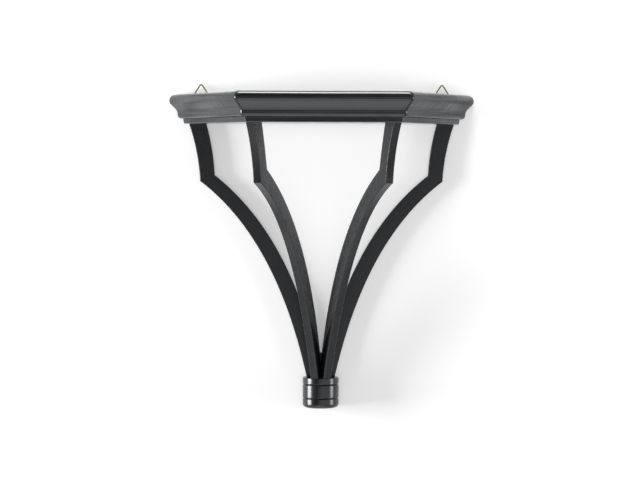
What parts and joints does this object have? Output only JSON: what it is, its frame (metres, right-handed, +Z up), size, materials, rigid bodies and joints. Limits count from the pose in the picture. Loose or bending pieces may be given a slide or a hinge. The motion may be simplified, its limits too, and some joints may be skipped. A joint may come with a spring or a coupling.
{
  "type": "lamp wall bracket",
  "caption": "Black wooden wall bracket: a shelf with a moulded edge on curved sawn legs that gather in a turned drum, hung from rings at the back.",
  "frame": {"origin": "middle of the shelf board's back edge, on the plane of the wall, halfway up the board", "axes": "+Z up, +Y into the wall, +X along the wall"},
  "size_m": [0.305, 0.203, 0.3233],
  "materials": {
    "black_paint": "satin gloss black paint",
    "brass": "dull, tarnished",
    "steel": "plain"
  },
  "bodies": {
    "bracket": {"shelf_board": "black_paint", "under_board": "black_paint", "left_wall_leg": "black_paint", "right_wall_leg": "black_paint", "left_front_leg": "black_paint", "right_front_leg": "black_paint", "boss": "black_paint", "leg_screws": "steel", "left_hanger_strap": "brass", "right_hanger_strap": "brass", "hanger_screws": "brass"},
    "left_ring": {"left_hanger_ring": "brass"},
    "right_ring": {"right_hanger_ring": "brass"}
  },
  "joints": [
    {"name": "left_ring_swivel", "type": "hinge", "parent": "bracket", "child": "left_ring", "pos_m": [-0.1205, -0.00195, 0.005], "axis": [-1, 0, 0], "range_deg": [-5, 100]},
    {"name": "right_ring_swivel", "type": "hinge", "parent": "bracket", "child": "right_ring", "pos_m": [0.1205, -0.00195, 0.005], "axis": [-1, 0, 0], "range_deg": [-5, 100]}
  ]
}
